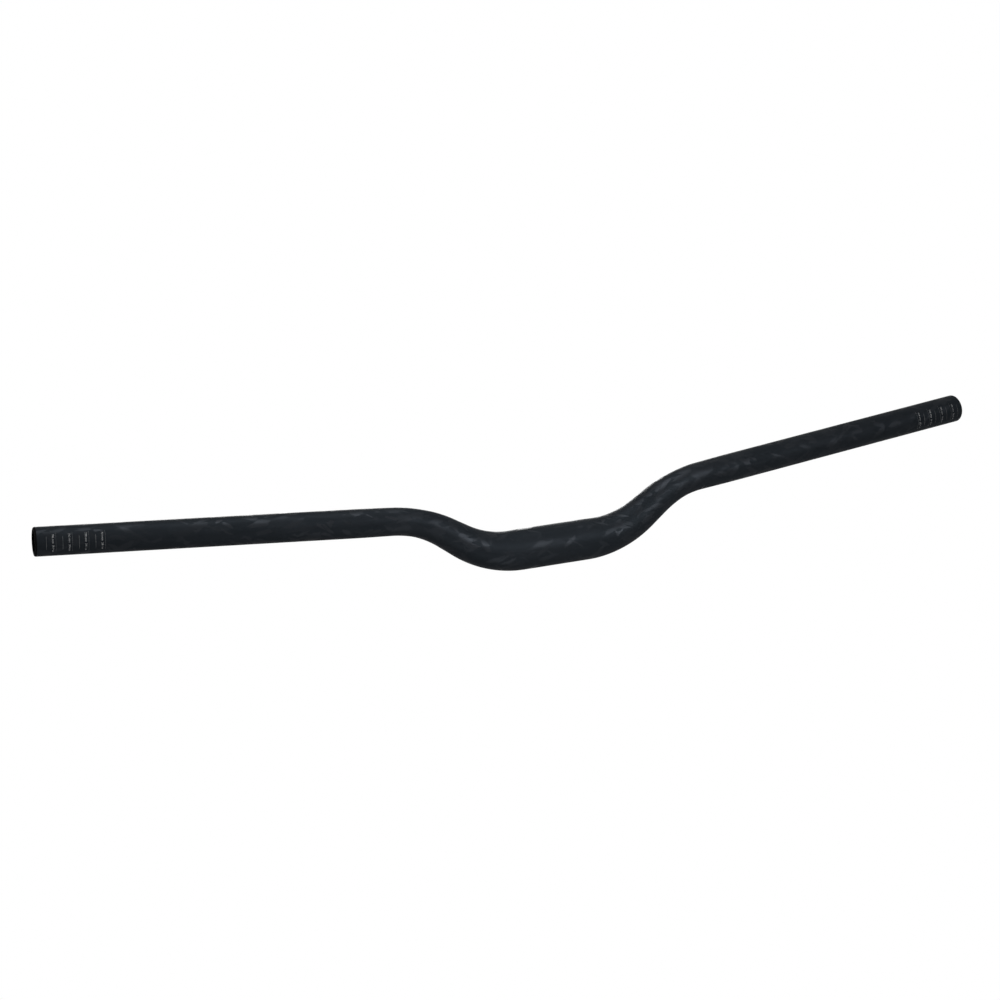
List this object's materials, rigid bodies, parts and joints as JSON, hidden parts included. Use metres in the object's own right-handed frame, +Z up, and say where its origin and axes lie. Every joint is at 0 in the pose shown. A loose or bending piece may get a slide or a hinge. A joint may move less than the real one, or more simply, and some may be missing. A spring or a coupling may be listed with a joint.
{
  "type": "riser handlebar",
  "caption": "One-piece riser handlebar for a mountain bike: a hollow carbon tube with a thick round clamp seat, double bends and slim swept grip ends.",
  "frame": {"origin": "middle of the stem clamp seat, on its axis", "axes": "+X along the clamp axis to the rider's left, +Y back to the rider, +Z up"},
  "size_m": [0.8034, 0.067, 0.0862],
  "materials": {
    "carbon": "satin black forged carbon"
  },
  "bodies": {
    "root": {"handlebar": "carbon"}
  },
  "joints": []
}
